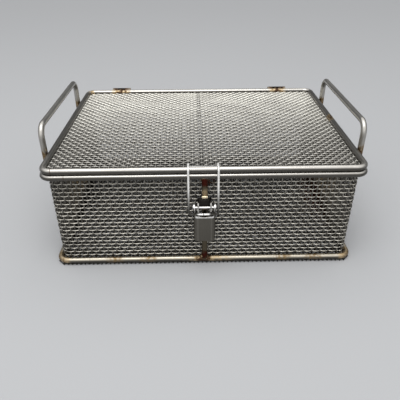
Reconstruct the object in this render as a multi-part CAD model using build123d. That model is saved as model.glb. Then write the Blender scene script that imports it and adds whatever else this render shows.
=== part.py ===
from build123d import *
import math
import os

# A lidded locker basket: woven wire panels on a frame of bent rod, two rod handles, a lid on
# two butt hinges and a draw latch with a wire bail. Millimetres, +Z up. The origin is on the
# floor under the middle of the basket, +X to the right and +Y to the back, with the latch in
# front at -Y.

os.makedirs("parts", exist_ok=True)

# Overall sizes, over the rods
basket_width = 330.2
basket_depth = 254.0
rim_top_height = 113.5
handle_height = 149.4

# Rod
rod_diameter = 6.35
rod_bend_radius = 10.0
rim_overhang = 0.8
lid_to_rim_gap = 0.5

# Woven panels, each as a flat holed net as thick as two crossed wires
net_thickness = 2.4
net_bar = 1.7
lid_net_border = 3.0
lid_net_clearance = 0.05
bottom_net_inset = 0.8
bottom_net_border = 6.35
wall_corner_clearance = 0.4
wall_top_above_rim_centre = 1.6
lid_columns = 19
lid_rows = 15
bottom_columns = 20
bottom_rows = 15
front_columns = 18
side_columns = 13
wall_rows = 6

# Carrying handles
handle_span = 162.0
handle_bend_radius = 12.0

# Latch post and base
latch_x = -0.5
post_x = 0.0
sheet_thickness = 1.2
base_width = 14.1
base_height = 12.6
base_bottom_height = 74.4
base_reach = 11.6
base_corner_radius = 4.4

# Latch pivots
lever_pivot_above_base = 5.2
lever_pivot_from_post_face = 7.1
pivot_pin_diameter = 2.0
pivot_pin_head_diameter = 3.2
pivot_pin_head_length = 0.5
running_clearance = 0.05
crank_drop = 6.8
crank_lead = 2.5

# Latch lever
lever_width = 22.3
lever_bend_radius = 4.2
lever_ear_radius = 4.4
lever_front_from_pivot = 6.3
lever_web_top_below_pivot = 6.3
lever_web_dip = 2.3
lever_tip_below_pivot = 37.6
lever_shoulder_below_pivot = 15.0
lever_tip_flange = 4.4
lever_tip_corner_radius = 2.0

# Latch bail
bail_wire = 2.2
bail_spacing = 29.8
bail_slide = -1.0
bail_end_gap = 0.6
bail_foot_bend = 2.4
bail_front_bend = 3.2
bail_back_bend = 2.0
bail_crossbar_bend = 1.8
bail_front_clearance = 2.3
bail_back_clearance = 0.28
bail_over_lid_rod = 0.32
bail_over_lid_net = 0.14

# Hinges
hinge_width = 25.4
hinge_inset = 50.6
hinge_sheet = 1.5
hinge_pin_diameter = 3.2
knuckle_gap = 0.3
hinge_rise = 0.6
leaf_drop_below_rim_centre = 6.0
leaf_notch_clearance = 0.8
tab_overlap = 0.75
pin_head_diameter = 4.6
pin_head_length = 0.9

# Weld beads
handle_bead = 1.8
handle_bead_offset = 2.4
post_bead = 1.8
post_bead_offset = 2.9
post_bead_rise = 0.4
base_bead = 1.7
base_bead_rise = 0.35
base_bead_length = 5.5
leaf_bead = 1.3
leaf_bead_offset = 2.7
leaf_bead_margin = 2.0
tab_bead = 1.0
tab_bead_margin = 0.6

# Cuts run past what they cut by this much
overrun = 1.0

# Values worked out from the sizes above
rod_radius = rod_diameter / 2
half_width = basket_width / 2
half_depth = basket_depth / 2
bottom_rod_z = net_thickness + rod_radius
rim_rod_z = rim_top_height - rod_radius
lid_rod_z = rim_top_height + lid_to_rim_gap + rod_radius
rim_width = basket_width + 2 * rim_overhang
rim_depth = basket_depth + 2 * rim_overhang
wall_radius = rod_bend_radius - rod_radius + wall_corner_clearance
wall_x = half_width - rod_diameter
wall_y = half_depth - rod_diameter
wall_bottom_z = net_thickness
wall_top_z = rim_rod_z + wall_top_above_rim_centre
wall_height = wall_top_z - wall_bottom_z
lid_net_bottom_z = lid_rod_z - rod_radius
lid_net_top_z = lid_net_bottom_z + net_thickness
front_rod_y = rod_radius - half_depth
rim_front_rod_y = rod_radius - half_depth - rim_overhang
post_y = (front_rod_y + rim_front_rod_y) / 2
post_face_y = post_y - rod_radius
pivot_y = post_face_y - lever_pivot_from_post_face
lever_pivot_height = base_bottom_height + lever_pivot_above_base
bail_pivot_y = pivot_y - crank_lead
bail_pivot_z = lever_pivot_height - crank_drop
lever_front_y = pivot_y - lever_front_from_pivot
lever_top_z = lever_pivot_height + lever_ear_radius
lever_web_top_z = lever_pivot_height - lever_web_top_below_pivot
lever_tip_z = lever_pivot_height - lever_tip_below_pivot
pivot_pin_radius = pivot_pin_diameter / 2
pivot_hole_radius = pivot_pin_radius + running_clearance
bail_radius = bail_wire / 2
knuckle_radius = hinge_pin_diameter / 2 + running_clearance + hinge_sheet
knuckle_length = (hinge_width - 2 * knuckle_gap) / 3
hinge_y = half_depth + rim_overhang + knuckle_radius
hinge_z = lid_rod_z + hinge_rise
hinge_x = half_width - hinge_inset
handle_x = half_width + rim_overhang + rod_radius
handle_bar_z = handle_height - rod_radius


def rod_loop(width, depth, centre_z):
    """One rod bent into a rounded rectangle and butt welded, given its outside width and depth."""
    outline = RectangleRounded(width - rod_diameter, depth - rod_diameter, rod_bend_radius)
    path = Pos(0, 0, centre_z) * outline.wire()
    section = Plane(origin=path @ 0, z_dir=path % 0) * Circle(rod_radius)
    return sweep(section, path=path)


def wire_tube(points, radii, wire_radius):
    """A round wire along straight runs joined by bends of the given centreline radii."""
    path = FilletPolyline(*points, radius=radii)
    section = Plane(origin=path @ 0, z_dir=path % 0) * Circle(wire_radius)
    return sweep(section, path=path)


def net(outline, width, height, columns, rows, border):
    """A flat holed net in the XY plane: one outline with a grid of equal gaps inside its border."""
    gap_width = (width - 2 * border - (columns - 1) * net_bar) / columns
    gap_height = (height - 2 * border - (rows - 1) * net_bar) / rows
    grid = GridLocations(gap_width + net_bar, gap_height + net_bar, columns, rows)
    gaps = [(place * Rectangle(gap_width, gap_height)).wire() for place in grid]
    return extrude(Face(outline.wire(), gaps), amount=net_thickness)


def rod_frames():
    """The three rod loops: under the rim of the lid, round the basket's mouth and round its foot."""
    return {
        "bottom_frame": rod_loop(basket_width, basket_depth, bottom_rod_z),
        "rim_frame": rod_loop(rim_width, rim_depth, rim_rod_z),
        "lid_frame": rod_loop(basket_width, basket_depth, lid_rod_z),
    }


def lid_net():
    """The lid's panel, welded to the lower inner side of the lid's rod."""
    depth_below_centre = lid_rod_z - lid_net_top_z
    seat = math.sqrt(max(rod_radius**2 - depth_below_centre**2, 0)) + lid_net_clearance
    width = basket_width - rod_diameter - 2 * seat
    depth = basket_depth - rod_diameter - 2 * seat
    outline = RectangleRounded(width, depth, rod_bend_radius - seat)
    panel = net(outline, width, depth, lid_columns, lid_rows, lid_net_border)
    return Pos(0, 0, lid_net_bottom_z) * panel


def bottom_net():
    """The floor panel, which lies under the bottom rod and meets the table."""
    width = basket_width - 2 * bottom_net_inset
    depth = basket_depth - 2 * bottom_net_inset
    outline = RectangleRounded(width, depth, rod_bend_radius + rod_radius - bottom_net_inset)
    return net(outline, width, depth, bottom_columns, bottom_rows, bottom_net_border)


def wall_net(half_span, half_reach, columns, turn):
    """One upright wall panel, between the bends at its two ends, turned to face outwards."""
    width = 2 * (half_span - wall_radius)
    outline = Rectangle(width, wall_height)
    panel = net(outline, width, wall_height, columns, wall_rows, net_bar)
    upright = Plane.XZ.offset(half_reach - net_thickness).location * panel
    return Rot(0, 0, turn) * Pos(0, 0, wall_bottom_z + wall_height / 2) * upright


def corner_strip(side_x, side_y):
    """The stretch of wall panel that is bent round one upright corner, with a column of gaps."""
    ring = Circle(wall_radius) - Circle(wall_radius - net_thickness)
    quarter = Pos(wall_radius / 2, wall_radius / 2) * Rectangle(wall_radius, wall_radius)
    strip = extrude(ring & quarter, amount=wall_height)
    gap_width = wall_radius * math.sqrt(2) - 2 * net_bar
    gap_height = (wall_height - (wall_rows + 1) * net_bar) / wall_rows
    for row in range(wall_rows):
        z = net_bar + gap_height / 2 + row * (gap_height + net_bar)
        strip -= Pos(0, 0, z) * Rot(0, 0, 45) * Pos(wall_radius, 0, 0) * Box(
            2 * wall_radius, gap_width, gap_height
        )
    turn = {(1, 1): 0, (-1, 1): 90, (-1, -1): 180, (1, -1): 270}[side_x, side_y]
    corner_x = side_x * (wall_x - wall_radius)
    corner_y = side_y * (wall_y - wall_radius)
    return Pos(corner_x, corner_y, wall_bottom_z) * Rot(0, 0, turn) * strip


def handle(side):
    """A carrying handle: a rod bent to a U, with its feet on the outer side of the rim rod."""
    foot_z = rim_rod_z - rod_radius
    half_span = handle_span / 2
    x = side * handle_x
    points = [(x, -half_span, foot_z), (x, -half_span, handle_bar_z)]
    points += [(x, half_span, handle_bar_z), (x, half_span, foot_z)]
    return wire_tube(points, handle_bend_radius, rod_radius)


def latch_post(bottom_frame, rim_frame):
    """The upright rod that carries the latch, coped to the bottom rod and the rim rod."""
    length = rim_rod_z - bottom_rod_z
    middle_z = (rim_rod_z + bottom_rod_z) / 2
    return Pos(post_x, post_y, middle_z) * Cylinder(rod_radius, length) - bottom_frame - rim_frame


def latch_base():
    """The sheet bracket on the post: a back plate and two cheeks that hold the lever's pin."""
    back_y = post_face_y
    front_y = back_y - base_reach
    middle_z = base_bottom_height + base_height / 2
    side = Plane.YZ * Pos((back_y + front_y) / 2, middle_z) * Rectangle(base_reach, base_height)
    block = extrude(side, amount=base_width / 2, both=True)
    front_edges = block.edges().filter_by(Axis.X).group_by(Axis.Y)[0]
    block = fillet(front_edges, base_corner_radius)
    inner_width = base_width - 2 * sheet_thickness
    block -= Pos(0, back_y - sheet_thickness - base_reach / 2, middle_z) * Box(
        inner_width, base_reach, base_height + overrun
    )
    hole = Cylinder(pivot_hole_radius, base_width + overrun, rotation=(0, 90, 0))
    block -= Pos(0, pivot_y, lever_pivot_height) * hole
    return Pos(latch_x, 0, 0) * block


def pivot_pin():
    """The lever's pin, with a flattened head outside each ear of the lever."""
    shank = Cylinder(pivot_pin_radius, lever_width + 2 * running_clearance, rotation=(0, 90, 0))
    head_x = lever_width / 2 + running_clearance + pivot_pin_head_length / 2
    for side in (-1, 1):
        shank += Pos(side * head_x, 0, 0) * Cylinder(
            pivot_pin_head_diameter / 2, pivot_pin_head_length, rotation=(0, 90, 0)
        )
    return Pos(latch_x, pivot_y, lever_pivot_height) * shank


def latch_lever():
    """The pressed channel that is pulled to work the latch, with an ear each side of the base."""
    depth = lever_front_from_pivot + lever_ear_radius
    length = lever_top_z - lever_tip_z
    middle_y = lever_front_y + depth / 2
    outer = Pos(0, middle_y) * Rectangle(lever_width, depth)
    outer = fillet(outer.vertices().group_by(Axis.Y)[0], lever_bend_radius)
    inner_width = lever_width - 2 * sheet_thickness
    inner = Pos(0, middle_y + sheet_thickness) * Rectangle(inner_width, depth)
    inner = fillet(inner.vertices().group_by(Axis.Y)[0], lever_bend_radius - sheet_thickness)
    channel = Pos(0, 0, lever_tip_z) * extrude(outer - inner, amount=length)

    back_y = pivot_y + lever_ear_radius
    tip_back_y = lever_front_y + lever_tip_flange
    shoulder_z = lever_pivot_height - lever_shoulder_below_pivot
    corners = [(lever_front_y, lever_tip_z), (lever_front_y, lever_web_top_z)]
    corners += [(pivot_y - lever_ear_radius, lever_pivot_height), (back_y, lever_pivot_height)]
    corners += [(back_y, shoulder_z), (tip_back_y, lever_tip_z)]
    side = make_face(Polyline(*corners, close=True)) + Pos(pivot_y, lever_pivot_height) * Circle(
        lever_ear_radius
    )
    lever = channel & extrude(Plane.YZ * side, amount=lever_width, both=True)

    web_middle_z = lever_web_top_z - lever_web_dip
    window_height = lever_top_z - web_middle_z + overrun
    window = Pos(0, 0, web_middle_z + window_height / 2) * Box(inner_width, depth, window_height)
    dip_radius = ((inner_width / 2) ** 2 + lever_web_dip**2) / (2 * lever_web_dip)
    dip = Pos(0, 0, web_middle_z + dip_radius) * Cylinder(dip_radius, depth, rotation=(90, 0, 0))
    lever -= Pos(0, lever_front_y, 0) * (window & dip)
    for y, z, radius in (
        (pivot_y, lever_pivot_height, pivot_hole_radius),
        (bail_pivot_y, bail_pivot_z, bail_radius + running_clearance),
    ):
        lever -= Pos(0, y, z) * Cylinder(radius, lever_width + overrun, rotation=(0, 90, 0))
    front = Rectangle(lever_width, length)
    front = fillet(front.vertices().group_by(Axis.Y)[0], lever_tip_corner_radius)
    front = Plane.XZ * Pos(0, lever_tip_z + length / 2) * front
    lever = lever & extrude(front, amount=basket_depth, both=True)
    return Pos(latch_x, 0, 0) * lever


def latch_bail():
    """The wire loop that hooks over the lid's front rod, sprung into the lever at its two ends."""
    leg = bail_spacing / 2
    leg_top_y = front_rod_y - rod_radius - bail_front_clearance - bail_radius
    crossbar_y = front_rod_y + rod_radius + bail_back_clearance + bail_radius
    top_z = lid_rod_z + rod_radius + bail_over_lid_rod + bail_radius
    crossbar_z = lid_net_top_z + bail_over_lid_net + bail_radius
    left = [
        (-bail_end_gap / 2, bail_pivot_y, bail_pivot_z),
        (-leg, bail_pivot_y, bail_pivot_z),
        (-leg, leg_top_y, top_z),
        (-leg, crossbar_y, top_z),
        (-leg, crossbar_y, crossbar_z),
    ]
    right = [(-x, y, z) for x, y, z in reversed(left)]
    radii = [bail_foot_bend, bail_front_bend, bail_back_bend, bail_crossbar_bend]
    bail = wire_tube(left + right, radii + radii[::-1], bail_radius)
    return Pos(latch_x + bail_slide, 0, 0) * bail


def knuckle(place):
    """A rolled knuckle at one of the hinge's three places, -1, 0 or 1 along its pin."""
    bore = hinge_pin_diameter / 2 + running_clearance
    x = place * (knuckle_length + knuckle_gap)
    roll = Cylinder(knuckle_radius, knuckle_length, rotation=(0, 90, 0))
    roll -= Cylinder(bore, knuckle_length + overrun, rotation=(0, 90, 0))
    return Pos(x, 0, 0) * roll


def basket_leaf():
    """The hinge leaf on the back of the rim rod, with the two outer knuckles, about the pin."""
    bottom_z = rim_rod_z - leaf_drop_below_rim_centre - hinge_z
    notch_top_z = -knuckle_radius - leaf_notch_clearance
    plate_y = hinge_sheet / 2 - knuckle_radius
    bore = hinge_pin_diameter / 2 + running_clearance
    plate = Pos(0, plate_y, bottom_z / 2) * Box(hinge_width, hinge_sheet, -bottom_z)
    notch_width = knuckle_length + 2 * knuckle_gap
    plate -= Pos(0, plate_y, notch_top_z / 2) * Box(notch_width, 2 * hinge_sheet, -notch_top_z)
    leaf = plate + knuckle(-1) + knuckle(1)
    return leaf - Cylinder(bore, hinge_width + overrun, rotation=(0, 90, 0))


def lid_leaf():
    """The hinge leaf on the lid: the middle knuckle and the tab that laps the lid's back rod."""
    reach = knuckle_radius + rim_overhang + tab_overlap
    bore = hinge_pin_diameter / 2 + running_clearance
    tab_z = knuckle_radius - hinge_sheet / 2
    tab = Pos(0, -reach / 2, tab_z) * Box(knuckle_length, reach, hinge_sheet)
    return tab + knuckle(0) - Cylinder(bore, knuckle_length + overrun, rotation=(0, 90, 0))


def hinge_pin():
    """The hinge's pin, with its head at the left end."""
    head_x = -(hinge_width + pin_head_length) / 2
    pin = Cylinder(hinge_pin_diameter / 2, hinge_width, rotation=(0, 90, 0))
    head = Cylinder(pin_head_diameter / 2, pin_head_length, rotation=(0, 90, 0))
    return pin + Pos(head_x, 0, 0) * head


def hinge_place(side):
    """Where a hinge's pin lies: side is -1 for the left hinge and 1 for the right."""
    return Pos(side * hinge_x, hinge_y, hinge_z)


def rod_along(axis, x, y, z):
    """A long straight rod through a point, along X, Y or Z, which shapes the beads laid on it."""
    turns = {"X": (0, 90, 0), "Y": (90, 0, 0), "Z": (0, 0, 0)}
    return Pos(x, y, z) * Cylinder(rod_radius, basket_width, rotation=turns[axis])


def without(bead, neighbours):
    """A weld bead less the pieces that it joins."""
    for piece in neighbours:
        bead = bead - piece
    return bead


def solids_of(shapes):
    """Every solid in a list of shapes, as one group."""
    return Compound(children=[solid for shape in shapes for solid in shape.solids()])


def handle_welds(side):
    """Two beads at each foot of a handle, before and behind it on the rim rod."""
    seam_x = side * (handle_x - rod_radius)
    rods = [handle(side), rod_along("Y", seam_x - side * rod_radius, 0, rim_rod_z)]
    ball = Rot(0, 0, 0 if side > 0 else 180) * Sphere(handle_bead)
    beads = []
    for foot in (-1, 1):
        for edge in (-1, 1):
            y = foot * handle_span / 2 + edge * handle_bead_offset
            beads.append(without(Pos(seam_x, y, rim_rod_z) * ball, rods))
    return solids_of(beads)


def post_welds():
    """Two beads at each end of the latch post, one on each side."""
    post = rod_along("Z", post_x, post_y, rim_rod_z)
    beads = []
    for rod_y, rod_z, rise in (
        (rim_front_rod_y, rim_rod_z, -rod_radius - post_bead_rise),
        (front_rod_y, bottom_rod_z, rod_radius + post_bead_rise),
    ):
        rod = rod_along("X", post_x, rod_y, rod_z)
        for side in (-1, 1):
            place = Pos(post_x + side * post_bead_offset, post_y, rod_z + rise)
            beads.append(without(place * Sphere(post_bead), [post, rod]))
    return solids_of(beads)


def base_welds():
    """A bead along the upper and the lower edge of the base, where it meets the post."""
    post = rod_along("Z", post_x, post_y, rim_rod_z)
    middle_z = base_bottom_height + base_height / 2
    plate = Pos(latch_x, post_face_y - sheet_thickness / 2, middle_z) * Box(
        base_width, sheet_thickness, base_height
    )
    beads = []
    for edge in (-1, 1):
        place = Pos(post_x, post_face_y, middle_z + edge * (base_height / 2 + base_bead_rise))
        bead = place * Cylinder(base_bead, base_bead_length, rotation=(0, 90, 0))
        beads.append(without(bead, [plate, post]))
    return solids_of(beads)


def basket_leaf_welds():
    """A bead under the rim rod along each basket leaf."""
    rod = rod_along("X", 0, -rim_front_rod_y, rim_rod_z)
    face_y = half_depth + rim_overhang
    beads = []
    for side in (-1, 1):
        x = side * hinge_x
        leaf = Pos(x, face_y + hinge_sheet / 2, rim_rod_z) * Box(
            hinge_width, hinge_sheet, hinge_width
        )
        place = Pos(x, face_y - leaf_bead / 2, rim_rod_z - leaf_bead_offset)
        length = hinge_width - 2 * leaf_bead_margin
        bead = place * Cylinder(leaf_bead, length, rotation=(0, 90, 0))
        beads.append(without(bead, [leaf, rod]))
    return solids_of(beads)


def lid_leaf_welds():
    """A bead along the front of each lid leaf's tab, on the lid's back rod."""
    rod = rod_along("X", 0, -front_rod_y, lid_rod_z)
    tab_bottom_z = hinge_z + knuckle_radius - hinge_sheet
    tab_front_y = half_depth - tab_overlap
    beads = []
    for side in (-1, 1):
        x = side * hinge_x
        tab = Pos(x, tab_front_y + hinge_sheet / 2, tab_bottom_z + hinge_sheet / 2) * Box(
            knuckle_length, hinge_sheet, hinge_sheet
        )
        length = knuckle_length - 2 * tab_bead_margin
        bead = Pos(x, tab_front_y, tab_bottom_z) * Cylinder(tab_bead, length, rotation=(0, 90, 0))
        beads.append(without(bead, [tab, rod]))
    return solids_of(beads)


def all_pieces():
    """Every piece by the name of its node."""
    pieces = rod_frames()
    pieces["lid_mesh"] = lid_net()
    pieces["bottom_mesh"] = bottom_net()
    pieces["front_wall_mesh"] = wall_net(wall_x, wall_y, front_columns, 0)
    pieces["back_wall_mesh"] = wall_net(wall_x, wall_y, front_columns, 180)
    pieces["left_wall_mesh"] = wall_net(wall_y, wall_x, side_columns, 270)
    pieces["right_wall_mesh"] = wall_net(wall_y, wall_x, side_columns, 90)
    for name, side_x, side_y in (
        ("front_left", -1, -1),
        ("front_right", 1, -1),
        ("back_left", -1, 1),
        ("back_right", 1, 1),
    ):
        pieces[name + "_corner_mesh"] = corner_strip(side_x, side_y)
    pieces["left_handle"] = handle(-1)
    pieces["right_handle"] = handle(1)
    pieces["latch_post"] = latch_post(pieces["bottom_frame"], pieces["rim_frame"])
    pieces["latch_base"] = latch_base()
    pieces["latch_pivot_pin"] = pivot_pin()
    pieces["latch_lever"] = latch_lever()
    pieces["latch_bail"] = latch_bail()
    for side, name in ((-1, "left_hinge"), (1, "right_hinge")):
        pieces[name + "_basket_leaf"] = hinge_place(side) * basket_leaf()
        pieces[name + "_lid_leaf"] = hinge_place(side) * lid_leaf()
        pieces[name + "_pin"] = hinge_place(side) * hinge_pin()
    pieces["left_handle_weld_beads"] = handle_welds(-1)
    pieces["right_handle_weld_beads"] = handle_welds(1)
    pieces["latch_post_weld_beads"] = post_welds()
    pieces["latch_base_weld_beads"] = base_welds()
    pieces["basket_hinge_weld_beads"] = basket_leaf_welds()
    pieces["lid_hinge_weld_beads"] = lid_leaf_welds()
    return pieces


for name, shape in all_pieces().items():
    export_step(shape, "parts/" + name + ".step")
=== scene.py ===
# %% [markdown]
# # A lidded basket of woven wire
#
# The basket's frame, hinges and latch come from a finished CAD model at real size. This lesson
# gives them their surfaces, and weaves the wire panels that the CAD model only stands in for.
# Everything is in metres, with +Z up, the latch in front at -Y and the floor at Z = 0.

# %% Load the frame
import math

import bpy
from mathutils import Matrix, Vector


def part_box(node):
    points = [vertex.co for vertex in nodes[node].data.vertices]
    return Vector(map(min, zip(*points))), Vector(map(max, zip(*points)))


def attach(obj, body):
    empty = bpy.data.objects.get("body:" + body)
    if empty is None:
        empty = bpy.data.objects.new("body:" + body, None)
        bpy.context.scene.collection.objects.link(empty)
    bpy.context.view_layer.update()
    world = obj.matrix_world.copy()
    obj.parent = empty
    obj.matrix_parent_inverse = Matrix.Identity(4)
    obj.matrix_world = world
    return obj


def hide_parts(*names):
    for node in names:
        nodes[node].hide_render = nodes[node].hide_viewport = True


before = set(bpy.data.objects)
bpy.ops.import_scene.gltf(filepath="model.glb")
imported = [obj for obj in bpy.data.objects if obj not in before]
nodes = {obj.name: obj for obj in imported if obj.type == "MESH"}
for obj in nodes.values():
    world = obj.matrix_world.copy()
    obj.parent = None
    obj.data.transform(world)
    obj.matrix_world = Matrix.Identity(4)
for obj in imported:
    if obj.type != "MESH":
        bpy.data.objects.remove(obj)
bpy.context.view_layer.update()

# %% [markdown]
# ## Millimetres
#
# A basket is measured in millimetres and Blender works in metres. Every size below is written in
# millimetres times MM, and every place goes through `at`, so that both read as on a drawing.

# %% Places in millimetres
MM = 0.001


def at(x, y, z):
    """A place given in millimetres."""
    return (x * MM, y * MM, z * MM)


# %% [markdown]
# ## Writing a material as sums
#
# A steel finish is a handful of masks: haze, streaks, heat tint, rust. Joining Math nodes by
# hand hides that, so a small class wraps the output of a node and lets Python's own operators
# add the Math nodes. `1 - mask` and `mask * 0.3` then read as they would on paper.

# %% Terms: shader values with arithmetic
class Term:
    """A number that comes out of a shader node. Arithmetic on it adds Math nodes."""

    def __init__(self, finish, output):
        self.finish = finish
        self.output = output

    def math(self, operation, first, second, clamp=False):
        settings = {"operation": operation, "use_clamp": clamp}
        return self.finish.term("Math", settings, {0: first, 1: second})

    def __add__(self, other):
        return self.math("ADD", self, other)

    __radd__ = __add__

    def __sub__(self, other):
        return self.math("SUBTRACT", self, other)

    def __rsub__(self, other):
        return self.math("SUBTRACT", other, self)

    def __mul__(self, other):
        return self.math("MULTIPLY", self, other)

    __rmul__ = __mul__

    def larger(self, other):
        return self.math("MAXIMUM", self, other)

    def absolute(self):
        return self.math("ABSOLUTE", self, 0.0)

    def clamped(self):
        return self.math("ADD", self, 0.0, clamp=True)


# %% [markdown]
# ## One material's nodes
#
# A material is a tree of nodes that ends in its shader. Every other node comes from one `node`
# method, which takes the node's kind, its settings, and what its sockets hold or are linked to.
# A number that is the same all over the surface is set on the shader's own socket.

# %% Nodes: a tree that ends in its shader
class NodeTree:
    """The nodes of a material, or of the world's sky."""

    def __init__(self, name, owner=None, shader="Principled BSDF", place="Object", **constants):
        self.material = owner or bpy.data.materials.new(name)
        self.material.use_nodes = True
        self.tree = self.material.node_tree
        self.shader = self.tree.nodes[shader]
        self.feed(**constants)
        self.place = self.node("TexCoord").outputs[place]

    def node(self, kind, settings=None, inputs=None):
        node = self.tree.nodes.new("ShaderNode" + kind)
        for key, value in (settings or {}).items():
            setattr(node, key, value)
        for socket, value in (inputs or {}).items():
            self.fill(node.inputs[socket], value)
        return node

    def fill(self, socket, value):
        """Link a value to a socket, or set it there."""
        if isinstance(value, Term):
            value = value.output
        if isinstance(value, bpy.types.NodeSocket):
            self.tree.links.new(value, socket)
        elif socket.type == "RGBA":
            socket.default_value = (*value, 1.0)
        else:
            socket.default_value = value

    def feed(self, **sockets):
        """Fill the shader's own sockets. Base_Color is the socket Base Color."""
        for socket, value in sockets.items():
            self.fill(self.shader.inputs[socket.replace("_", " ")], value)

    def term(self, kind, settings, inputs, output=0):
        """A new node's output as a term."""
        return Term(self, self.node(kind, settings, inputs).outputs[output])


# %% [markdown]
# ## Patterns and masks
#
# A finish is built from noise, places and facings, and a smooth step makes a mask of each. On a
# piece, places are Object coordinates. The piece has its place in its mesh, so these are the
# basket's own metres, and a mask can be laid at a weld or along a rod by its place on the basket.

# %% Finish: a material with patterns
MIX_COLOUR_SOCKETS = (6, 7)  # a Mix node has its colour sockets after those for numbers and vectors
MIX_COLOUR_OUTPUT = 2


class Finish(NodeTree):
    """A material, or the sky, with the patterns and masks that steel needs."""

    def noise(self, scale, detail=3.0, stretch=(1, 1, 1), seed=0.0):
        """Soft noise from 0 to 1. Scale is in cycles for each metre, before the stretch."""
        mapping = {"Vector": self.place, "Scale": stretch, "Location": (seed, seed, seed)}
        moved = self.node("Mapping", None, mapping)
        inputs = {"Vector": moved.outputs[0], "Scale": scale, "Detail": detail}
        return self.term("TexNoise", None, inputs, "Fac")

    def ramp(self, value, low, high):
        """0 at the low value, 1 at the high one, and a smooth step between. Low may be larger."""
        inputs = {"Value": value, "From Min": low, "From Max": high}
        return self.term("MapRange", {"interpolation_type": "SMOOTHSTEP"}, inputs)

    def near(self, point, reach, squeeze=(1, 1, 1)):
        """1 at a point of the basket, falling to 0 at the reach. A squeeze under 1 lengthens it."""
        offset = self.node("VectorMath", {"operation": "SUBTRACT"}, {0: self.place, 1: point})
        scaled = self.node("VectorMath", {"operation": "MULTIPLY"}, {0: offset.outputs[0], 1: squeeze})
        length = self.node("VectorMath", {"operation": "LENGTH"}, {0: scaled.outputs[0]})
        return self.ramp(Term(self, length.outputs["Value"]), reach, 0.0)

    def axis(self, index):
        """The place along X, Y or Z."""
        return self.term("SeparateXYZ", None, {0: self.place}, index)

    def normal(self, index):
        """How far the surface faces along X, Y or Z, in the piece's own axes."""
        facing = self.node("TexCoord").outputs["Normal"]
        return self.term("SeparateXYZ", None, {0: facing}, index)

    def mix(self, mask, below, above):
        """A colour that goes from one to the other as the mask goes from 0 to 1."""
        node = self.node("Mix", {"data_type": "RGBA"}, {"Factor": mask})
        for socket, colour in zip(MIX_COLOUR_SOCKETS, (below, above)):
            self.fill(node.inputs[socket], colour)
        return node.outputs[MIX_COLOUR_OUTPUT]

    def bump(self, height, strength, distance):
        """Small relief, too fine to model."""
        node = self.node("Bump", None, {"Height": height, "Strength": strength, "Distance": distance})
        self.fill(self.shader.inputs["Normal"], node.outputs["Normal"])


# %% [markdown]
# ## Camera
#
# The reference photograph looks down on the basket from in front. A camera can be turned by eye
# until the picture fits. This one was worked out instead, from the way the lid's sides converge,
# so that the render can be laid over the photograph.

# %% Camera
CAMERA_PLACE = Vector((-12.14, -505.88, 317.78)) * MM
CAMERA_YAW = 0.0191
CAMERA_PITCH = 0.5528
CAMERA_ROLL = -0.0045
FOCAL_PIXELS = 435.67
IMAGE_PIXELS = 400
SENSOR_MM = 36.0
NEAREST_SEEN = 10 * MM


def camera_axes(yaw, pitch, roll):
    """The camera's right, up and backward directions."""
    forward = Vector((math.sin(yaw) * math.cos(pitch), math.cos(yaw) * math.cos(pitch), -math.sin(pitch)))
    level_right = Vector((math.cos(yaw), -math.sin(yaw), 0))
    level_up = level_right.cross(forward)
    right = level_right * math.cos(roll) + level_up * math.sin(roll)
    up = level_up * math.cos(roll) - level_right * math.sin(roll)
    return right, up, -forward


def add_camera():
    data = bpy.data.cameras.new("camera")
    data.sensor_fit = "HORIZONTAL"
    data.sensor_width = SENSOR_MM
    data.lens = FOCAL_PIXELS / IMAGE_PIXELS * SENSOR_MM
    data.clip_start = NEAREST_SEEN
    camera = bpy.data.objects.new("camera", data)
    bpy.context.scene.collection.objects.link(camera)
    turn = Matrix(camera_axes(CAMERA_YAW, CAMERA_PITCH, CAMERA_ROLL)).transposed()
    camera.matrix_world = Matrix.Translation(CAMERA_PLACE) @ turn.to_4x4()
    bpy.context.scene.camera = camera
    print("lens", round(data.lens, 2), "mm")


add_camera()

# %% [markdown]
# ## Sky
#
# Polished rod shows its surroundings more than its own colour, so the sky does most of the work
# on metal. It is bright overhead, further down toward the front than elsewhere, and dim near the
# horizon. That gives each rod a light back and dark flanks. With lamps alone the rods would be
# black, with one thin highlight each.

# %% Sky
SKY_BRIGHT = (1.10, 1.10, 1.10)
SKY_DARK = (0.13, 0.132, 0.135)
SKY_LEAN = (-0.05, -0.45, 0.89)
SKY_RISE = (0.15, 0.75)
OVERHEAD_RISE = (0.56, 0.74)


def add_sky():
    world = bpy.data.worlds.new("sky")
    bpy.context.scene.world = world
    sky = Finish("sky", owner=world, shader="Background", place="Generated")
    lean = sky.term("VectorMath", {"operation": "DOT_PRODUCT"}, {0: sky.place, 1: SKY_LEAN}, "Value")
    bright = sky.ramp(lean, *SKY_RISE).larger(sky.ramp(sky.axis(2), *OVERHEAD_RISE))
    sky.feed(Color=sky.mix(bright, SKY_DARK, SKY_BRIGHT))
    print(len(sky.tree.nodes), "nodes in the sky")


add_sky()

# %% [markdown]
# ## Lamp
#
# One broad lamp above the front edge puts the hard highlight where the photograph has it, and
# the soft shadow under the basket. A smaller lamp would make a sharper shadow than is seen.

# %% Lamp
LAMP_PLACE = Vector((-0.15, -0.50, 1.6))
LAMP_SIZE = 1.3
LAMP_POWER = 12.0


def add_lamp():
    data = bpy.data.lights.new("overhead_lamp", "AREA")
    data.shape = "DISK"
    data.size = LAMP_SIZE
    data.energy = LAMP_POWER
    lamp = bpy.data.objects.new("overhead_lamp", data)
    bpy.context.scene.collection.objects.link(lamp)
    lamp.location = LAMP_PLACE
    lamp.rotation_euler = (-LAMP_PLACE).to_track_quat("-Z", "Y").to_euler()
    print("lamp", round(LAMP_PLACE.length, 2), "m from the basket")


add_lamp()

# %% [markdown]
# ## Floor
#
# The basket stands on a plain pale floor with a faint grain. A curved backdrop would also do. A
# very wide floor fills the photograph's view just as well, and is the same from every side.

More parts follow.
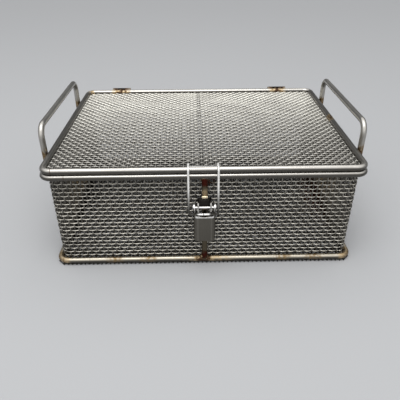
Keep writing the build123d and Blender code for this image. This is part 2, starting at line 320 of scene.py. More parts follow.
# %% Floor
FLOOR_COLOUR = (0.47, 0.478, 0.49)
FLOOR_GRAIN_SHADE = 0.94
FLOOR_SIZE = 40.0


def add_floor():
    finish = Finish("pale_floor", Roughness=0.9)
    grain = finish.noise(scale=900.0, detail=2.0)
    darker = tuple(FLOOR_GRAIN_SHADE * channel for channel in FLOOR_COLOUR)
    finish.feed(Base_Color=finish.mix(grain, darker, FLOOR_COLOUR))
    bpy.ops.mesh.primitive_plane_add(size=FLOOR_SIZE, location=(0, 0, 0))
    floor = bpy.context.object
    floor.name = "floor"
    floor.data.materials.append(finish.material)
    print("floor", FLOOR_SIZE, "m wide")


add_floor()
bpy.context.scene.view_settings.view_transform = "Standard"

# %% [markdown]
# ## Working on a mesh as by hand
#
# Blender's mesh operators act on whatever is selected, in whichever mode is on. These few helpers
# put one piece alone in hand, so that each later step touches that piece and nothing else.

# %% Take a piece in hand
def put_down():
    """Leave edit mode and select nothing."""
    active = bpy.context.view_layer.objects.active
    if active and active.mode != "OBJECT":
        bpy.ops.object.mode_set(mode="OBJECT")
    bpy.ops.object.select_all(action="DESELECT")


def take(*pieces):
    """Select these pieces alone, the first of them active."""
    put_down()
    for piece in pieces:
        piece.select_set(True)
    bpy.context.view_layer.objects.active = pieces[0]


def edit(piece):
    """Go into edit mode on one piece, with all of it selected."""
    take(piece)
    bpy.ops.object.mode_set(mode="EDIT")
    bpy.ops.mesh.select_all(action="SELECT")


# %% Change a whole piece
def apply_modifier(piece, kind, **settings):
    """Add one modifier, set it and apply it."""
    take(piece)
    modifier = piece.modifiers.new(kind.lower(), kind)
    for key, value in settings.items():
        setattr(modifier, key, value)
    bpy.ops.object.modifier_apply(modifier=modifier.name)


def settle(piece):
    """Put the piece's place and turn into its mesh."""
    take(piece)
    bpy.ops.object.transform_apply(location=True, rotation=True, scale=True)


def join(name, pieces):
    """Make one piece of several."""
    take(*pieces)
    if len(pieces) > 1:
        bpy.ops.object.join()
    piece = bpy.context.view_layer.objects.active
    piece.name = name
    return piece


def triangles(piece):
    """The piece's count of triangles."""
    piece.data.calc_loop_triangles()
    return len(piece.data.loop_triangles)


# %% [markdown]
# ## One crimped wire
#
# The cloth is plain weave: every wire is crimped, and passes over one neighbour and under the
# next. A bevelled curve could follow the crimp, but it would still have to be made a mesh and
# closed at its ends. Here one wave is drawn by extruding a six-sided ring through eight short
# steps, which is few faces for hundreds of wires, and an Array modifier repeats it along the
# wire. A wire of an odd number of pitches is cut off in the middle of its last wave.

# %% One wave of a wire
WIRE_RADIUS = 0.75 * MM
CRIMP = 0.50 * MM
CLOTH_THICKNESS = 2 * (WIRE_RADIUS + CRIMP)
WIRE_SIDES = 6
STEPS_PER_PITCH = 4
WELD_TOGETHER = 0.01 * MM


def one_wave(pitch, side):
    """An open tube of one wave, two pitches long. Side is 1 where it first rises, or else -1."""
    put_down()
    ring = {"vertices": WIRE_SIDES, "radius": WIRE_RADIUS, "rotation": (0, math.pi / 2, 0)}
    bpy.ops.mesh.primitive_circle_add(**ring)
    wire = bpy.context.object
    settle(wire)
    edit(wire)
    step = pitch / STEPS_PER_PITCH
    heights = []
    for index in range(2 * STEPS_PER_PITCH + 1):
        heights.append(side * CRIMP * math.sin(math.pi * index / STEPS_PER_PITCH))
    for before, after in zip(heights, heights[1:]):
        bpy.ops.mesh.extrude_region_move(TRANSFORM_OT_translate={"value": (step, 0, after - before)})
    put_down()
    return wire


print("cloth", round(CLOTH_THICKNESS / MM, 2), "mm thick")


# %% A whole crimped wire
def crimped_wire(pitch, pitches, side):
    """A closed wire along +X from the origin."""
    wire = one_wave(pitch, side)
    apply_modifier(
        wire,
        "ARRAY",
        count=math.ceil(pitches / 2),
        use_relative_offset=False,
        use_constant_offset=True,
        constant_offset_displace=(2 * pitch, 0, 0),
        use_merge_vertices=True,
        merge_threshold=WELD_TOGETHER,
    )
    edit(wire)
    if pitches % 2:
        cut = {"plane_co": (pitch * pitches, 0, 0), "plane_no": (1, 0, 0), "clear_outer": True}
        bpy.ops.mesh.bisect(threshold=WELD_TOGETHER, **cut)
        bpy.ops.mesh.select_all(action="SELECT")
    bpy.ops.mesh.fill_holes(sides=WIRE_SIDES)
    bpy.ops.mesh.select_all(action="SELECT")
    bpy.ops.mesh.normals_make_consistent(inside=False)
    put_down()
    return wire


# %% [markdown]
# ## Weaving the wires
#
# A second Array lays wires side by side. Odd wires start half a wave later than even ones, so
# they are a second set. The wires of the other direction are crimped the opposite way, and then
# the two directions interlock with no wire passing through another.

# %% Wires side by side, and both directions together
SWAP_X_AND_Y = Matrix(((0, 1, 0, 0), (1, 0, 0, 0), (0, 0, 1, 0), (0, 0, 0, 1)))


def rank_of_wires(name, pitch, pitches, spacing, count, side):
    """Parallel wires along +X, side by side along +Y, each crimped opposite to the last."""
    sets = []
    for first in (0, 1):
        wire = crimped_wire(pitch, pitches, side if first == 0 else -side)
        apply_modifier(
            wire,
            "ARRAY",
            count=(count + 1 - first) // 2,
            use_relative_offset=False,
            use_constant_offset=True,
            constant_offset_displace=(0, 2 * spacing, 0),
        )
        wire.location = (0, (first + 0.5) * spacing, 0)
        settle(wire)
        sets.append(wire)
    rank = join(name, sets)
    take(rank)
    bpy.ops.object.shade_smooth()
    return rank


def woven_cloth(name, columns, rows, pitch_x, pitch_y, side=1):
    """A flat cloth from the origin along +X and +Y: its wires along X, and its wires along Y."""
    along_x = rank_of_wires(name + "_level_wires", pitch_x, columns, pitch_y, rows, side)
    along_y = rank_of_wires(name + "_cross_wires", pitch_y, rows, pitch_x, columns, -side)
    along_y.matrix_world = SWAP_X_AND_Y
    settle(along_y)
    edit(along_y)
    bpy.ops.mesh.normals_make_consistent(inside=False)
    put_down()
    return along_x, along_y


# %% [markdown]
# ## Heat tint, rust and soot
#
# Steel that was heated beside a weld turns straw, then brown, then nearly black. Rust and soot
# gather in the same kind of patch. A patch could be painted as an image. Here it is a layer: a
# light tint, a deep one, and the spots where both lie. Noise breaks each spot's edge up.

# %% Tints and spots
STRAW = (0.46, 0.35, 0.21)
DARK_GOLD = (0.24, 0.17, 0.09)
BROWN = (0.075, 0.042, 0.025)
RUST = (0.065, 0.014, 0.009)
# this near-black serves for real soot and for painted shade
SOOT_AND_SHADE = (0.02, 0.017, 0.014)
# the dark colour of painted shade under rods and wires and along the lid's side rods
PAINTED_SHADE = (0.07, 0.065, 0.057)
WHOLE = (1, 1, 1)
LIGHT_TINT_RISE = (0.04, 0.40)
DEEP_TINT_RISE = (0.35, 0.75)
RAGGED_RISE = (0.36, 0.64)
RAGGED_LEAST = 0.50
RAGGED_MORE = 0.80


def spot(place, reach, depth, squeeze=WHOLE):
    """One spot of a layer. A squeeze under 1 along an axis makes it longer that way."""
    return place, reach, depth, squeeze


def tinted(finish, colour, layers):
    """A colour with tint over it, and the tint's strength."""
    ragged = finish.ramp(finish.noise(scale=260.0, detail=5.0), *RAGGED_RISE)
    strongest = 0.0
    for light, deep, spots in layers:
        heat = None
        for place, reach, depth, squeeze in spots:
            patch = finish.near(place, reach, squeeze) * depth
            heat = patch if heat is None else heat.larger(patch)
        heat = (heat * (RAGGED_LEAST + RAGGED_MORE * ragged)).clamped()
        colour = finish.mix(finish.ramp(heat, *LIGHT_TINT_RISE), colour, light)
        colour = finish.mix(finish.ramp(heat, *DEEP_TINT_RISE), colour, deep)
        strongest = heat.larger(strongest)
    return colour, strongest


# %% [markdown]
# ## Wire steel
#
# The cloth's wire is dull and patchy, with painted shade where it faces down. The half of a wall's
# wires that faces into the basket is painted dark as painted shade. On the lid, painted shade lies
# low in the weave and deepens toward the front, and one dark line of painted shade runs from front
# to back. All of this is masks of place and facing over one base, so each cloth's finish differs
# only in its colours. A steel is given by its clean colour, its dull colour and its roughness.

# %% Wire steel
INSIDE_SHADE = (0.07, 0.067, 0.06)
FRONT_SHADE = (0.46, 0.445, 0.41)
UNDERSIDE = (0.30, -0.35)
WALLS = ((0, 158 * MM), (1, 120 * MM))  # the axis that each pair of walls faces, and their place
WALL_DEPTH = (4 * MM, 2 * MM)
FACING_IN = (0.05, -0.35)
LID_BACK_TO_FRONT = (110 * MM, -110 * MM)
SHADE_HEIGHTS = (0.8 * MM, -0.2 * MM)  # from the cloth's middle, where the painted shade starts and is full
DARK_LINE_X = -2.4 * MM
DARK_LINE_EDGES = (3.0 * MM, 1.2 * MM)


def inside_wall(finish):
    """1 on the half of a wall's wires that faces into the basket."""
    masks = []
    for index, wall in WALLS:
        place = finish.axis(index)
        on_wall = finish.ramp(place.absolute(), wall - WALL_DEPTH[0], wall - WALL_DEPTH[1])
        outward = finish.normal(index) * place * (1 / wall)
        masks.append(on_wall * finish.ramp(outward, *FACING_IN))
    return masks[0].larger(masks[1])


def lid_shading(finish, base, middle):
    """Painted shade toward the front and low in the weave, and a dark line of painted shade."""
    toward_front = finish.ramp(finish.axis(1), *LID_BACK_TO_FRONT)
    # painted shade: darker toward the front
    base = finish.mix(toward_front * 0.95, base, FRONT_SHADE)
    # painted shade: darker low in the weave, most toward the front
    depth = finish.ramp(finish.axis(2), middle + SHADE_HEIGHTS[0], middle + SHADE_HEIGHTS[1])
    base = finish.mix(depth * (0.06 + 0.86 * toward_front), base, SOOT_AND_SHADE)
    # painted shade: a dark line from front to back, deepest low in the weave
    line = finish.ramp((finish.axis(0) - DARK_LINE_X).absolute(), *DARK_LINE_EDGES)
    return finish.mix(line * (0.1 + 0.9 * depth), base, SOOT_AND_SHADE)


def wire_steel(name, colour, dull, roughness, layers, underside_shade=0.7, lid_middle=None):
    """Woven wire. For the lid's cloth, the height of its middle is given too."""
    finish = Finish(name, Metallic=1.0)
    patches = finish.noise(scale=26.0, detail=4.0)
    fine = finish.noise(scale=700.0, detail=2.0, seed=5.0)
    mask = (finish.ramp(patches, 0.3, 0.7) * 0.55 + fine * 0.5).clamped()
    base = finish.mix(mask, dull, colour)
    # painted shade: the wire is darkened where it faces down
    base = finish.mix(finish.ramp(finish.normal(2), *UNDERSIDE) * underside_shade, base, PAINTED_SHADE)
    if lid_middle:
        base = lid_shading(finish, base, lid_middle)
    else:
        # painted shade: the half of the wall's wires that faces into the basket is darkened
        base = finish.mix(inside_wall(finish) * 0.85, base, INSIDE_SHADE)
    base, heat = tinted(finish, base, layers)
    finish.feed(Base_Color=base, Roughness=roughness + 0.15 * fine + 0.2 * heat)
    return finish.material


# %% [markdown]
# ## The lid's cloth
#
# The lid's panel runs under its rod on all four sides and is welded to the rod's lower inner
# quadrant, so the wires are carried a little further than the CAD net that they replace. How many
# wires there are comes from the pitch measured in the photograph. The wires along the basket and
# those across it are lit differently in the room, so each direction has its own tone.

# %% A level cloth in place of a CAD net
def lay_cloth(node, body, materials, reach, columns, rows):
    """Weave a level cloth over the box of a CAD net, carried past each side by the reach."""
    low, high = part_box(node)
    width = high.x - low.x + 2 * reach
    depth = high.y - low.y + 2 * reach
    ranks = woven_cloth(node, columns, rows, width / columns, depth / rows)
    for rank, material in zip(ranks, materials):
        rank.location = (low.x - reach, low.y - reach, (low.z + high.z) / 2)
        settle(rank)
        rank.data.materials.append(material)
        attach(rank, body)
        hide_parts(node)
        print(rank.name, triangles(rank), "triangles")
    return ranks


# %% Lid cloth
WELD_REACH = 1.5 * MM
LID_COLUMNS = 68
LID_ROWS = 53
LEVEL_WIRE = ((0.92, 0.90, 0.82), (0.62, 0.60, 0.55), 0.31)
CROSS_WIRE = ((1.0, 0.99, 0.93), (0.90, 0.88, 0.82), 0.31)
ALONG_FRONT = (0.11, 1, 1)

lid_low, lid_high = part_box("lid_mesh")
cloth_middle = (lid_low.z + lid_high.z) / 2
# painted shade: a dark strip along the front of the lid, behind the front rod
front_rod_shade = [spot(at(0, -110, 115), 16 * MM, 0.22, ALONG_FRONT)]
lid_layers = [(SOOT_AND_SHADE, SOOT_AND_SHADE, front_rod_shade)]
lid_wires = [
    wire_steel("lid_level_wire_steel", *LEVEL_WIRE, lid_layers, lid_middle=cloth_middle),
    wire_steel("lid_cross_wire_steel", *CROSS_WIRE, lid_layers, lid_middle=cloth_middle),
]
lay_cloth(
    "lid_mesh", "lid", lid_wires, reach=WELD_REACH, columns=LID_COLUMNS, rows=LID_ROWS
)

# %% [markdown]
# ## Stains on the walls and the bottom
#
# Rust shows low on the right wall and painted shade low on the left one, with a warm haze over both
# and a rusty run-off beside the top of the latch's post. The walls and the bottom share these layers,
# because the stains and the shade pass from one to the other where the cloths meet.

# %% Stains of the walls and the bottom
LOW_AND_LONG = (1, 0.24, 1)
WIDE = (1, 0.8, 1)

side_rust = [spot(at(157, 5, 6), 26 * MM, 0.85, LOW_AND_LONG)]
# painted shade low on the left wall, where rust lies on the right
left_low_shade = [spot(at(-157, 0, 6), 26 * MM, 0.85, LOW_AND_LONG)]
side_warm = [spot(at(side * 158, 0, 55), 110 * MM, 0.22, WIDE) for side in (-1, 1)]
post_stain = [spot(at(5, -121, 106), 12 * MM, 0.9)]
wall_layers = [
    (STRAW, BROWN, side_warm),
    (BROWN, RUST, post_stain),
    (BROWN, RUST, side_rust),
    (SOOT_AND_SHADE, SOOT_AND_SHADE, left_low_shade),
]
print(len(wall_layers), "layers of stain on the walls")

# %% [markdown]
# ## The bottom cloth
#
# The bottom panel lies under the bottom rod and nearly reaches its outer edge, so it is woven to
# the size of its net. It is painted nearly black as painted shade, and both directions share one
# finish. Its corners are cut off where the rod turns. Each could be rounded like the rod, but a
# plane at 45 degrees hides under the rod as well.

# %% Bottom cloth
BOTTOM_COLUMNS = 70
BOTTOM_ROWS = 54
# painted shade: the bottom cloth's wires are coloured nearly black
SHADED_BOTTOM_WIRE = ((0.07, 0.066, 0.06), (0.03, 0.028, 0.024), 0.40)

bottom_wires = [wire_steel("bottom_wire_steel", *SHADED_BOTTOM_WIRE, wall_layers)] * 2
bottom_ranks = lay_cloth(
    "bottom_mesh", "basket", bottom_wires, reach=0.0, columns=BOTTOM_COLUMNS, rows=BOTTOM_ROWS
)

# %% Cut the bottom cloth's corners
CORNER_CUT = 7.2 * MM
SLANTED_END_SIDES = 2 * WIRE_SIDES  # a slanting cut meets more of a wire's faces


def cut_corners(piece, low, high, cut):
    """Cut a level cloth's four corners off at 45 degrees, this far from each corner."""
    middle = (low + high) / 2
    half = (high - low) / 2
    for side_x in (-1, 1):
        for side_y in (-1, 1):
            edit(piece)
            place = (middle.x + side_x * (half.x - cut), middle.y + side_y * half.y, middle.z)
            bpy.ops.mesh.bisect(plane_co=place, plane_no=(side_x, side_y, 0), clear_outer=True)
            bpy.ops.mesh.select_all(action="SELECT")
            bpy.ops.mesh.fill_holes(sides=SLANTED_END_SIDES)
            put_down()


for rank in bottom_ranks:
    cut_corners(rank, *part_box("bottom_mesh"), CORNER_CUT)
    print(rank.name, triangles(rank), "triangles with its corners cut")

# %% [markdown]
# ## The wall cloth
#
# One strip of cloth is bent round all four corners. It could be woven in one length and bent at
# the end. Four flat stretches and four bent corners are simpler to place, and each then stands in
# for one CAD net. The level wires are brighter than the upright ones, which the rods above shade.

# %% Wires of the walls
# how strongly the walls' wires are darkened with painted shade where they face down
WALL_UNDER_SHADE = 0.9
WALL_WIRE = ((0.72, 0.69, 0.61), (0.40, 0.38, 0.335), 0.27)
UPRIGHT_WIRE = ((0.32, 0.305, 0.275), (0.17, 0.16, 0.14), 0.32)

wall_wire = wire_steel("wall_wire_steel", *WALL_WIRE, wall_layers, WALL_UNDER_SHADE)
upright_wire = wire_steel("upright_wire_steel", *UPRIGHT_WIRE, wall_layers, WALL_UNDER_SHADE)
print("the walls have", wall_wire.name, "and", upright_wire.name)


# %% Join, stand up and dress a stretch of wall
def wall_ranks(node, ranks):
    """Join the level and the upright wires, each with its own finish."""
    for rank, finish in zip(ranks, (wall_wire, upright_wire)):
        rank.data.materials.append(finish)
    return join(node + "_wires", ranks)


def stand_up(piece, turn, place):
    """Stand a level cloth up to face -Y, turn it about Z and put its lower left corner in place."""
    upright = Matrix.Rotation(math.pi / 2, 4, "X")
    piece.matrix_world = Matrix.Translation(place) @ Matrix.Rotation(turn, 4, "Z") @ upright
    settle(piece)


def dress_wall(piece, node):
    """Let a stretch of wall ride on the basket in place of its CAD net."""
    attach(piece, "basket")
    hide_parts(node)
    print(piece.name, triangles(piece), "triangles")


# %% Flat stretches of the wall
WALL_ROWS = 23
FRONT_PITCHES = 65
SIDE_PITCHES = 49


def wall_cloth(node, pitches, turn, corner, side):
    """One flat stretch of the wall: corner says which corner of its box is its lower left."""
    low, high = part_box(node)
    length = max(high.x - low.x, high.y - low.y)
    thickness = min(high.x - low.x, high.y - low.y)
    ranks = woven_cloth(node, pitches, WALL_ROWS, length / pitches, (high.z - low.z) / WALL_ROWS, side)
    cloth = wall_ranks(node, ranks)
    inward = Vector((-math.sin(turn), math.cos(turn), 0)) * thickness / 2
    outer_corner = Vector((high.x if corner[0] else low.x, high.y if corner[1] else low.y, low.z))
    stand_up(cloth, turn, outer_corner + inward)
    dress_wall(cloth, node)


wall_cloth("front_wall_mesh", FRONT_PITCHES, turn=0, corner=(0, 0), side=1)
wall_cloth("right_wall_mesh", SIDE_PITCHES, turn=math.pi / 2, corner=(1, 0), side=-1)
wall_cloth("back_wall_mesh", FRONT_PITCHES, turn=math.pi, corner=(1, 1), side=1)
wall_cloth("left_wall_mesh", SIDE_PITCHES, turn=-math.pi / 2, corner=(0, 1), side=-1)

# %% [markdown]
# ## The wall's corners
#
# Each corner is a narrow flat cloth, two pitches wide. It could be woven round the corner wire by
# wire, but a Simple Deform modifier bends all of it through a right angle at once. A stretch with
# an odd number of pitches ends half a wave on, so the next one starts on its other side, -1 after
# 1. The crimp then carries on all round the basket, and the strip reads as one.

# %% Bent corners of the wall
CORNER_PITCHES = 2


def corner_cloth(node, side):
    """The stretch bent round one corner of the basket."""
    low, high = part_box(node)
    radius = (high.x - low.x) - CLOTH_THICKNESS / 2
    length = radius * math.pi / 2
    rows_pitch = (high.z - low.z) / WALL_ROWS
    ranks = woven_cloth(node, CORNER_PITCHES, WALL_ROWS, length / CORNER_PITCHES, rows_pitch, side)
    cloth = wall_ranks(node, ranks)
    cloth.location = (-length / 2, 0, 0)
    settle(cloth)
    stand_up(cloth, 0, Vector((0, 0, 0)))
    apply_modifier(cloth, "SIMPLE_DEFORM", deform_method="BEND", deform_axis="Z", angle=math.pi / 2)
    left = low.x < 0
    front = low.y < 0
    centre_of_bend = Vector((high.x if left else low.x, high.y if front else low.y, low.z))
    outermost = Vector((low.x if left else high.x, low.y if front else high.y, low.z))
    outward = (outermost - centre_of_bend).normalized()
    heading = math.atan2(outward.y, outward.x) + math.pi / 2
    middle = Matrix.Translation(centre_of_bend + outward * radius)
    cloth.matrix_world = middle @ Matrix.Rotation(heading, 4, "Z")
    settle(cloth)
    dress_wall(cloth, node)


corner_cloth("front_right_corner_mesh", side=-1)
corner_cloth("back_right_corner_mesh", side=1)
corner_cloth("back_left_corner_mesh", side=-1)
corner_cloth("front_left_corner_mesh", side=1)

# %% [markdown]
# ## Rod steel
#
# The frame is drawn rod: satin, with a dull haze, fine scratches, and painted shade where it faces
# down. The shade could be a darker colour all over. As a mask of how far the surface faces down, it
# leaves the tops bright. One function makes every rod's finish, and each rod below gives it
# colours, tint layers and painted shade of its own.

# %% Rod steel
END_ROD = (157 * MM, 160 * MM)
OFF_CORNER = (122 * MM, 108 * MM)


def rod_steel(name, colour, dull, roughness, layers, underside_shade=0.7, underside=UNDERSIDE, shaded_ends=0.0):
    """Drawn rod. The underside is how far a surface faces up where the painted shade starts and is full.
    """
    finish = Finish(name, Metallic=1.0)
    haze = finish.noise(scale=38.0, detail=5.0)
    fine = finish.noise(scale=520.0, detail=3.0, seed=3.0)
    base = finish.mix((haze * 0.7 + fine * 0.4).clamped(), dull, colour)
    # painted shade: the rod is darkened where it faces down
    base = finish.mix(finish.ramp(finish.normal(2), *underside) * underside_shade, base, PAINTED_SHADE)
    # painted shade: the lid's side rods are darkened along the two ends, away from the corners
    if shaded_ends:
        on_end = finish.ramp(finish.axis(0).absolute(), *END_ROD)
        off_corner = finish.ramp(finish.axis(1).absolute(), *OFF_CORNER)
        base = finish.mix(on_end * off_corner * shaded_ends, base, PAINTED_SHADE)
    base, heat = tinted(finish, base, layers)
    finish.feed(Base_Color=base, Roughness=roughness + 0.16 * haze + 0.08 * fine + 0.22 * heat)
    finish.bump(fine, strength=0.12, distance=0.2 * MM)
    return finish.material


# %% [markdown]
# ## Hinges and handle feet
#
# The rods, the handles and the latch keep their CAD shapes. Each only needs its own finish, with
# tint where it was welded. The places of the hinges and of the handles' feet are read from the
# CAD pieces, so they stay right if a size changes. Marks that nothing but the photograph gives
# are written in millimetres.

# %% Places of the hinges and of the handles' feet
FOOT_INSET = 3 * MM
FOOT_RISE = 4 * MM

hinge_x = []  # in millimetres
feet = []
for side in ("left", "right"):
    low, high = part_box(side + "_hinge_pin")
    hinge_x.append((low.x + high.x) / 2 / MM)
    low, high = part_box(side + "_handle")
    for foot_y in (low.y + FOOT_INSET, high.y - FOOT_INSET):
        feet.append(((low.x + high.x) / 2, foot_y, low.z + FOOT_RISE))
print(len(hinge_x), "hinges and", len(feet), "handle feet")

# %% [markdown]
# ## The lid's rod
#
# The lid's frame is bright on top, with painted shade underneath. It is browned at the two hinges,
# at one back corner and beside the right handle, and darkened with painted shade along its two
# ends. A dark ring marks where the bent rod's own ends were welded together. The ring is a spot
# squeezed to a thin slice across the rod, because a real groove would be too fine to see.

# %% Lid rod
ROD = ((0.66, 0.64, 0.60), (0.44, 0.42, 0.385), 0.20)
# painted shade reaching far up the rod's underside
UNDER_SHADE = {"underside_shade": 0.93, "underside": (0.62, 0.05)}
RING = (9, 1, 1)
BACK_ROD = (123.8, 117.2)
FRONT_ROD = (-123.8, 117.2)

lid_spots = [spot(at(x, *BACK_ROD), 17 * MM, 0.78, (0.9, 1, 1)) for x in hinge_x]
lid_spots.append(spot(at(-161, 123, 117), 11 * MM, 0.9))
lid_spots.append(spot(at(162, 7.5, 119), 9 * MM, 0.9, (1, 0.7, 1)))
lid_marks = [spot(at(-151.6, *FRONT_ROD), 6 * MM, 0.75, RING)]
lid_rod = [(STRAW, BROWN, lid_spots), (BROWN, SOOT_AND_SHADE, lid_marks)]
finishes = {"lid_frame": rod_steel("lid_rod_steel", *ROD, lid_rod, shaded_ends=0.5, **UNDER_SHADE)}
print(len(lid_spots), "tinted places on the lid's rod")

# %% [markdown]
# ## The rim's rod and the handles
#
# The rim's rod lies right under the lid's, so its painted shade underneath reaches higher. The
# handles are welded to its outside. The same four feet give the tint on the rim and on the handles,
# so that it carries on from one piece to the other, which two separate sets of places would not promise.

# %% Rim rod and handles
# painted shade reaching still higher, under the lid's rod
DEEP_UNDER_SHADE = {"underside_shade": 0.93, "underside": (0.80, 0.30)}
LONG_Z = (1, 1, 0.6)
RIM_FRONT = (-124.6, 110.3)

rim_spots = [spot(at(0, -124, 106.5), 6 * MM, 1.0)]
rim_spots += [spot(foot, 10 * MM, 0.8) for foot in feet]
rim_marks = [spot(at(x, *RIM_FRONT), 6 * MM, 0.7, RING) for x in (-151.4, -139.4)]
rim_rod = [(STRAW, BROWN, rim_spots), (BROWN, SOOT_AND_SHADE, rim_marks)]
finishes["rim_frame"] = rod_steel("rim_rod_steel", *ROD, rim_rod, **DEEP_UNDER_SHADE)

handle_spots = [spot(foot, 11 * MM, 0.8, LONG_Z) for foot in feet]
handle_steel = rod_steel("handle_steel", *ROD, [(DARK_GOLD, BROWN, handle_spots)])
for name in ("left_handle", "right_handle"):
    finishes[name] = handle_steel
print(len(rim_spots + handle_spots), "tinted places on the rim's rod and the handles")

# %% [markdown]
# ## The bottom rod
#
# The bottom rod is the most worn and the warmest in colour. It is browned at the post, at the
# front corners and here and there between, and has dark rings at its joints. Painted shade lies at
# the middle of its left end and rust at its right, beside the walls' marks and made the same way.

# %% Bottom rod
WARM_ROD = ((0.62, 0.58, 0.49), (0.36, 0.32, 0.25), 0.22)
LONG_X = (0.5, 1, 1)
LONG_Y = (1, 0.14, 1)
BOTTOM_FRONT = (-123.8, 5.6)

bottom_spots = [
    spot(at(-1, *BOTTOM_FRONT), 13 * MM, 1.2, (0.8, 1, 1)),
    spot(at(6, *BOTTOM_FRONT), 24 * MM, 0.30, LONG_X),
]
bottom_spots += [spot(at(side * 162, -122, 5), 20 * MM, 0.6) for side in (-1, 1)]
bottom_browns = [spot(at(x, *BOTTOM_FRONT), 9 * MM, 0.45, LONG_X) for x in (-100, -62, 88, 122)]
bottom_rings_and_shade = [spot(at(x, *BOTTOM_FRONT), 6 * MM, 0.8, RING) for x in (-127.7, 80.7)]
# painted shade along the middle of the left end of the bottom rod
bottom_rings_and_shade.append(spot(at(-162, 0, 7), 16 * MM, 0.55, LONG_Y))
bottom_rust = [spot(at(162, 0, 7), 16 * MM, 0.55, LONG_Y)]
bottom_rod = [
    (STRAW, BROWN, bottom_spots),
    (DARK_GOLD, BROWN, bottom_browns),
    (BROWN, SOOT_AND_SHADE, bottom_rings_and_shade),
    (BROWN, RUST, bottom_rust),
]
finishes["bottom_frame"] = rod_steel("bottom_rod_steel", *WARM_ROD, bottom_rod, **UNDER_SHADE)
print(len(bottom_rod), "layers of tint on the bottom rod")

# %% [markdown]
# ## The latch's post and pin
#
# The post is an upright rod, dark from the heat of the welds that hold the latch, and rusty at
# both ends. The pin through the latch is bare bright steel, which the lever's ears rub. Both are
# drawn like the other rods, so both take the same finish in other colours.

# %% Post and pin
POST = ((0.17, 0.14, 0.09), (0.06, 0.048, 0.032), 0.24)
PIN = ((0.98, 0.97, 0.95), (0.8, 0.79, 0.77), 0.22)

post_warm = [spot(at(0, -126, 92), 9 * MM, 0.4)]
post_rust = [spot(at(0, -126, 106), 10 * MM, 1.5), spot(at(0, -126, 13), 9 * MM, 1.0)]
post_rod = [(STRAW, BROWN, post_warm), (BROWN, RUST, post_rust)]
finishes["latch_post"] = rod_steel("post_steel", *POST, post_rod)
finishes["latch_pivot_pin"] = rod_steel("pin_steel", *PIN, [], underside_shade=0.3)
print(len(finishes), "pieces have their finish")

# %% [markdown]
# ## The latch's lever
#
# The lever is dull pressed sheet, drawn along its length. Its sheared edges at the lip are bare
# steel with a painted highlight, and two faint lines where the sheet was bent back to make the ears
# are painted highlights. The edges could be selected and given a second material. A mask of facing
# finds them on the CAD shape and fades softly.

# %% Lever steel
LATCH_X = -0.5 * MM
LIP_Z = 70.4 * MM
LIP_FADE = 0.5 * MM
BEND_LINE = 7.0 * MM
BEND_LINE_EDGES = (1.1 * MM, 0.2 * MM)
LEVER_DULL = (0.095, 0.087, 0.073)
LEVER_CLEAN = (0.16, 0.15, 0.13)
LEVER_BEND_GLINT = (0.30, 0.29, 0.26)
BRIGHT_EDGE = (0.90, 0.89, 0.86)


def lever_steel():
    finish = Finish("lever_steel", Metallic=1.0)
    haze = finish.noise(scale=60.0, detail=5.0)
    drawn = finish.noise(scale=900.0, detail=2.0, stretch=(1, 1, 0.05))
    base = finish.mix((haze * 0.7 + drawn * 0.4).clamped(), LEVER_DULL, LEVER_CLEAN)
    from_middle = (finish.axis(0) - LATCH_X).absolute()
    # painted highlight: a faint light line along each bend
    line = finish.ramp((from_middle - BEND_LINE).absolute(), *BEND_LINE_EDGES)
    base = finish.mix(line * 0.25, base, LEVER_BEND_GLINT)
    # bare steel and a painted highlight along the lip's sheared edges
    side_face = finish.ramp(finish.normal(0).absolute(), 0.45, 0.75)
    above_lip = finish.ramp(finish.axis(2), LIP_Z, LIP_Z + LIP_FADE)
    bare_lip_and_glint = above_lip * (1 - side_face)
    base = finish.mix(bare_lip_and_glint, base, BRIGHT_EDGE)
    finish.feed(Base_Color=base, Roughness=0.42 + 0.1 * haze - 0.1 * bare_lip_and_glint)
    finish.bump(drawn, strength=0.10, distance=0.1 * MM)
    return finish.material


finishes["latch_lever"] = lever_steel()
print("lever in", finishes["latch_lever"].name)

# %% [markdown]
# ## The latch's base
#
# The base is a small pressed bracket, painted nearly black inside as painted shade, where no cloth
# reaches, and bright on the front of its two cheeks. It is one CAD piece, so a mask of depth tells
# the two apart.

# %% Base steel
CHEEK_FRONT = (-136.5 * MM, -138.5 * MM)
CHEEK = (0.50, 0.49, 0.46)
BASE_SHADE_DARKEST = (0.015, 0.013, 0.012)
BASE_SHADE = (0.05, 0.045, 0.04)


def base_steel():
    finish = Finish("base_steel", Metallic=1.0)
    haze = finish.noise(scale=90.0, detail=4.0)
    front = finish.ramp(finish.axis(1), *CHEEK_FRONT)
    # painted shade: all but the cheeks' front is coloured nearly black
    shaded_inside = finish.mix(haze, BASE_SHADE_DARKEST, BASE_SHADE)
    finish.feed(Base_Color=finish.mix(front, shaded_inside, CHEEK), Roughness=0.26 + 0.15 * haze)
    finish.bump(haze, strength=0.10, distance=0.3 * MM)
    return finish.material


finishes["latch_base"] = base_steel()
print("base in", finishes["latch_base"].name)

# %% [markdown]
# ## The latch's bail
#
# The bail is a loop of bright wire. It has a painted highlight where it rides over the lid's rod
# and in the middle of its crossbar, and painted shade on its legs lower down. It could be a mirror,
# but then it would show mostly the dark of the sky. A rougher, slightly less metallic steel stays
# pale from every side, as the real one does.

# %% Bail steel
BAIL_X = -1.5 * MM
BAIL_UPPER = (84 * MM, 104 * MM)
BAIL_LOWER = (86 * MM, 76 * MM)
BAIL_MIDDLE = (7.5 * MM, 4.5 * MM)
BAIL_GLINT = ((0.90, 0.89, 0.86), (1.0, 0.99, 0.97))
BAIL_SHADE = (0.26, 0.255, 0.24)
BAIL_DEEP_SHADE = (0.07, 0.067, 0.06)


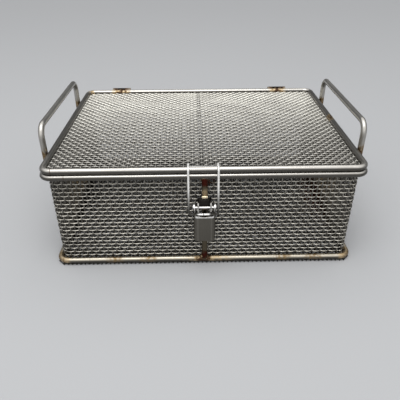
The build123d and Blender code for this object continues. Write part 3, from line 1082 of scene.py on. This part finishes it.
def bail_steel():
    finish = Finish("bail_steel", Metallic=0.7)
    fine = finish.noise(scale=600.0, detail=3.0)
    upper = finish.ramp(finish.axis(2), *BAIL_UPPER)
    lower = finish.ramp(finish.axis(2), *BAIL_LOWER)
    middle = finish.ramp((finish.axis(0) - BAIL_X).absolute(), *BAIL_MIDDLE)
    # painted highlight over the lid's rod and at the middle of the crossbar
    glint = finish.mix(fine, *BAIL_GLINT)
    # painted shade on the legs, darkest lowest
    dull = finish.mix(lower, BAIL_SHADE, BAIL_DEEP_SHADE)
    base = finish.mix(upper.larger(middle), dull, glint)
    finish.feed(Base_Color=base, Roughness=0.50 + 0.12 * fine)
    return finish.material


finishes["latch_bail"] = bail_steel()
print("bail in", finishes["latch_bail"].name)

# %% [markdown]
# ## The hinges
#
# The hinges' leaves are rolled sheet, and like their pins they are browned by the welds that hold
# them. They are small and dark, so the rods' finish in darker tones does for all of them.

# %% Hinge steel
HINGE = ((0.30, 0.26, 0.20), (0.10, 0.08, 0.06), 0.24)
HINGE_WELD = (127, 118)

hinge_spots = [spot(at(x, *HINGE_WELD), 16 * MM, 1.1) for x in hinge_x]
hinge_steel = rod_steel("hinge_steel", *HINGE, [(BROWN, SOOT_AND_SHADE, hinge_spots)])
hinge_pieces = [name for name in nodes if "hinge" in name and "weld" not in name]
for name in hinge_pieces:
    finishes[name] = hinge_steel
print(hinge_pieces)

# %% [markdown]
# ## The weld beads
#
# A weld bead sets in ripples, so its bump is stronger than any other here. It is gold where it
# ran over the latch's base, and brown and rusty elsewhere. The ripples could be modelled, but the
# beads are a few millimetres across, and at that size the bump looks the same.

# %% Bead steel
LATCH_BEAD = at(0, -128, 88)
GOLD_REACH = 7 * MM
BEAD_HOLLOW = (0.16, 0.13, 0.10)
BEAD_CREST = (0.36, 0.31, 0.24)
GOLD = (0.95, 0.82, 0.58)

bead_spots = [spot(at(0, -127, 5), 30 * MM, 0.7), spot(at(0, -127, 110), 20 * MM, 1.2)] + hinge_spots


def bead_steel():
    finish = Finish("weld_steel", Metallic=1.0)
    ripples = finish.noise(scale=1500.0, detail=2.0)
    base = finish.mix(ripples, BEAD_HOLLOW, BEAD_CREST)
    base, heat = tinted(finish, base, [(STRAW, BROWN, bead_spots)])
    gold = finish.near(LATCH_BEAD, GOLD_REACH) * finish.ramp(ripples, 0.42, 0.52)
    base = finish.mix(gold, base, GOLD)
    finish.feed(Base_Color=base, Roughness=0.24 + 0.2 * ripples + 0.15 * heat)
    finish.bump(ripples, strength=0.5, distance=0.4 * MM)
    return finish.material


weld_steel = bead_steel()
weld_pieces = [name for name in nodes if "weld" in name]
for name in weld_pieces:
    finishes[name] = weld_steel
print(weld_pieces)

# %% [markdown]
# ## Handing the finishes out
#
# A CAD piece comes with one plain material. It is taken out and the piece's own finish put in its
# place. The nets need none, because the woven wires stand in for them.

# %% Finish the CAD pieces
for name, material in finishes.items():
    nodes[name].data.materials.clear()
    nodes[name].data.materials.append(material)
print(len(finishes), "CAD pieces finished")
